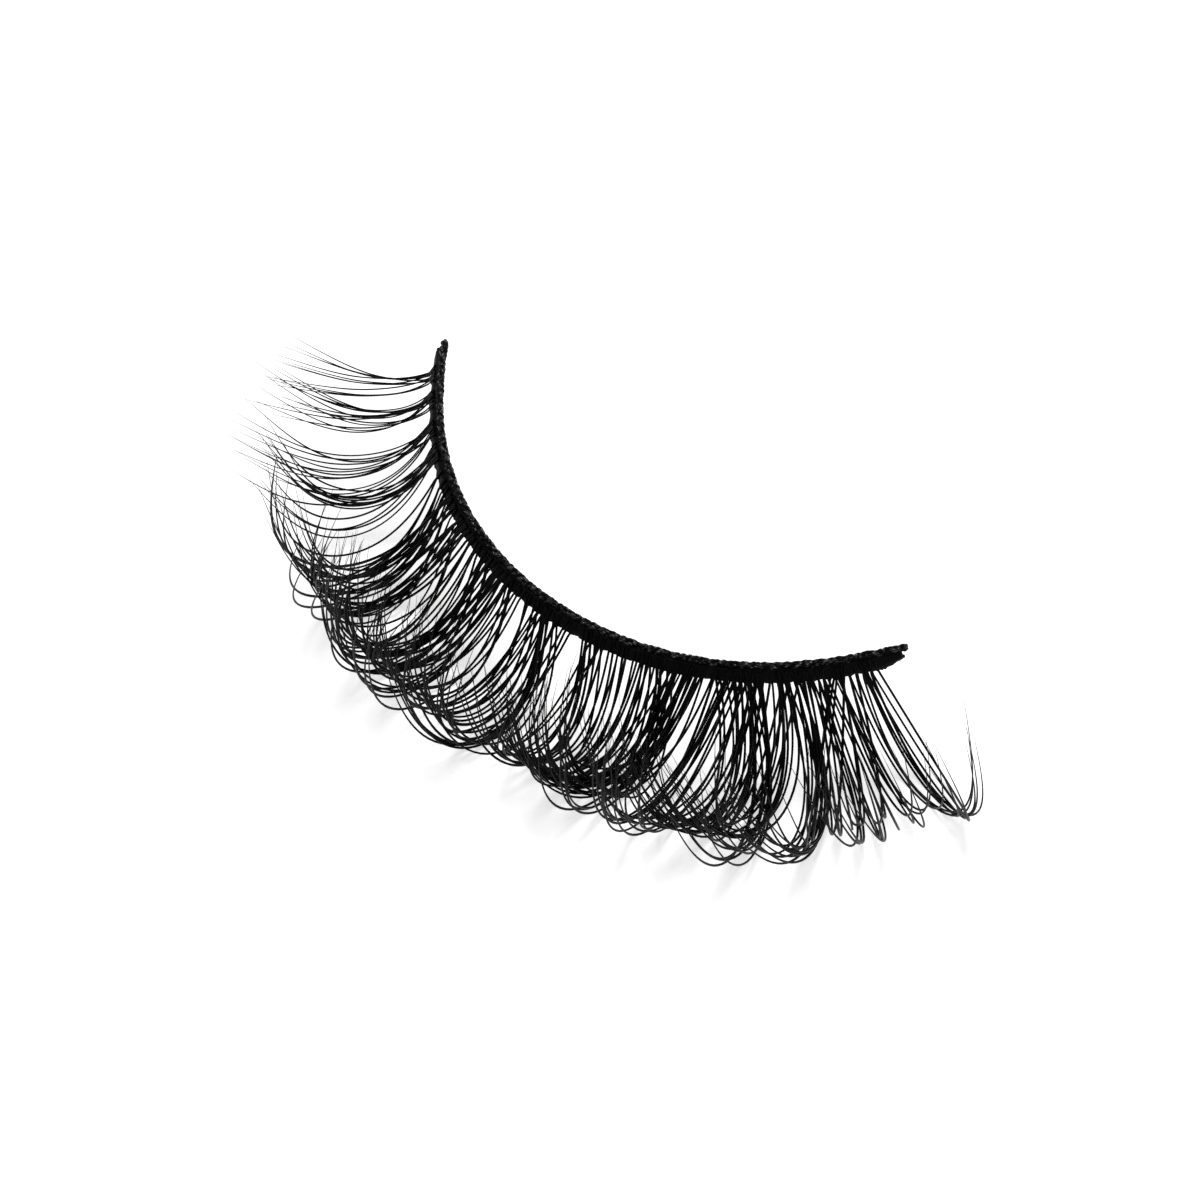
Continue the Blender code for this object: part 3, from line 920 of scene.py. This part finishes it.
class LASHSTRIP_OT_lacquer(bpy.types.Operator):
    """Lays the film of lacquer that holds the fibres' roots to the lower thread"""

    bl_idname = "lashstrip.lacquer"
    bl_label = "Lay Root Lacquer"

    def execute(self, context):
        edge = context.scene.lash_strip.band.lacquer_edge
        piece = make_lacquer("root_lacquer", edge, make_lacquer_material())
        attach(piece, "root")
        return {"FINISHED"}


class LASHSTRIP_OT_stage(bpy.types.Operator):
    """Sets the white floor, the soft lights and the photograph's camera"""

    bl_idname = "lashstrip.stage"
    bl_label = "Set Stage"

    def execute(self, context):
        scene = context.scene
        stage = scene.lash_strip.stage
        scene.view_settings.view_transform = "Standard"
        mesh = bpy.data.meshes.new("floor")
        sides = ((-1, -1), (1, -1), (1, 1), (-1, 1))
        corners = [(FLOOR_HALF * x, FLOOR_HALF * y, 0.0) for x, y in sides]
        mesh.from_pydata(corners, [], [(0, 1, 2, 3)])
        mesh.materials.append(make_floor_material(stage.glow))
        floor = put_in_scene("floor", mesh)

        world = bpy.data.worlds.new("white_surround")
        world.use_nodes = True
        background = world.node_tree.nodes["Background"]
        background.inputs["Color"].default_value = (*linear("#ffffff"), 1.0)
        background.inputs["Strength"].default_value = stage.sky
        scene.world = world

        lamp = bpy.data.lights.new("overhead_softbox", "AREA")
        lamp.shape = "DISK"
        lamp.size = LAMP_WIDTH
        lamp.energy = stage.key_power
        light = put_in_scene("overhead_softbox", lamp)
        light.location = LAMP_PLACE
        light.rotation_euler = (-LAMP_PLACE).to_track_quat("-Z", "Y").to_euler()

        level_reach = math.cos(CAMERA_ELEVATION)
        back = Vector((
            math.sin(CAMERA_AZIMUTH) * level_reach,
            -math.cos(CAMERA_AZIMUTH) * level_reach,
            math.sin(CAMERA_ELEVATION)))
        right = Vector((math.cos(CAMERA_AZIMUTH), math.sin(CAMERA_AZIMUTH), 0.0))
        lens = bpy.data.cameras.new("photo_camera")
        lens.sensor_fit = "HORIZONTAL"
        lens.sensor_width = SENSOR_MM
        lens.lens = CAMERA_LENS_MM
        lens.clip_start = 0.01
        camera = put_in_scene("photo_camera", lens)
        camera.location = band_point(0.0) + CAMERA_SIDESTEP * right + CAMERA_DISTANCE * back
        camera.rotation_euler = Euler((math.pi / 2 - CAMERA_ELEVATION, 0.0, CAMERA_AZIMUTH))
        scene.camera = camera
        return {"FINISHED"}


class LASHSTRIP_PT_panel(bpy.types.Panel):
    """Shows the strip's settings, and the buttons that build its pieces"""

    bl_idname = "LASHSTRIP_PT_panel"
    bl_label = "Lash Strip"
    bl_space_type = "VIEW_3D"
    bl_region_type = "UI"
    bl_category = "Lash Strip"

    def draw(self, context):
        settings = context.scene.lash_strip
        layout = self.layout
        for group in (settings.band, settings.fibres, settings.finish, settings.stage):
            box = layout.box()
            for name in group.__annotations__:
                box.prop(group, name)
        for operator in OPERATORS:
            layout.operator(operator.bl_idname)


OPERATORS = (LASHSTRIP_OT_threads, LASHSTRIP_OT_fans, LASHSTRIP_OT_lacquer, LASHSTRIP_OT_stage)
CLASSES = (
    LashBandSettings, LashFibreSettings, LashFinishSettings, LashStageSettings, LashStripSettings,
    *OPERATORS, LASHSTRIP_PT_panel)


def register():
    for cls in CLASSES:
        bpy.utils.register_class(cls)
    bpy.types.Scene.lash_strip = PointerProperty(type=LashStripSettings)


def unregister():
    del bpy.types.Scene.lash_strip
    for cls in reversed(CLASSES):
        bpy.utils.unregister_class(cls)


def main():
    register()
    bpy.ops.lashstrip.threads()
    bpy.ops.lashstrip.fans()
    bpy.ops.lashstrip.lacquer()
    bpy.ops.lashstrip.stage()


if __name__ == "__main__":
    main()
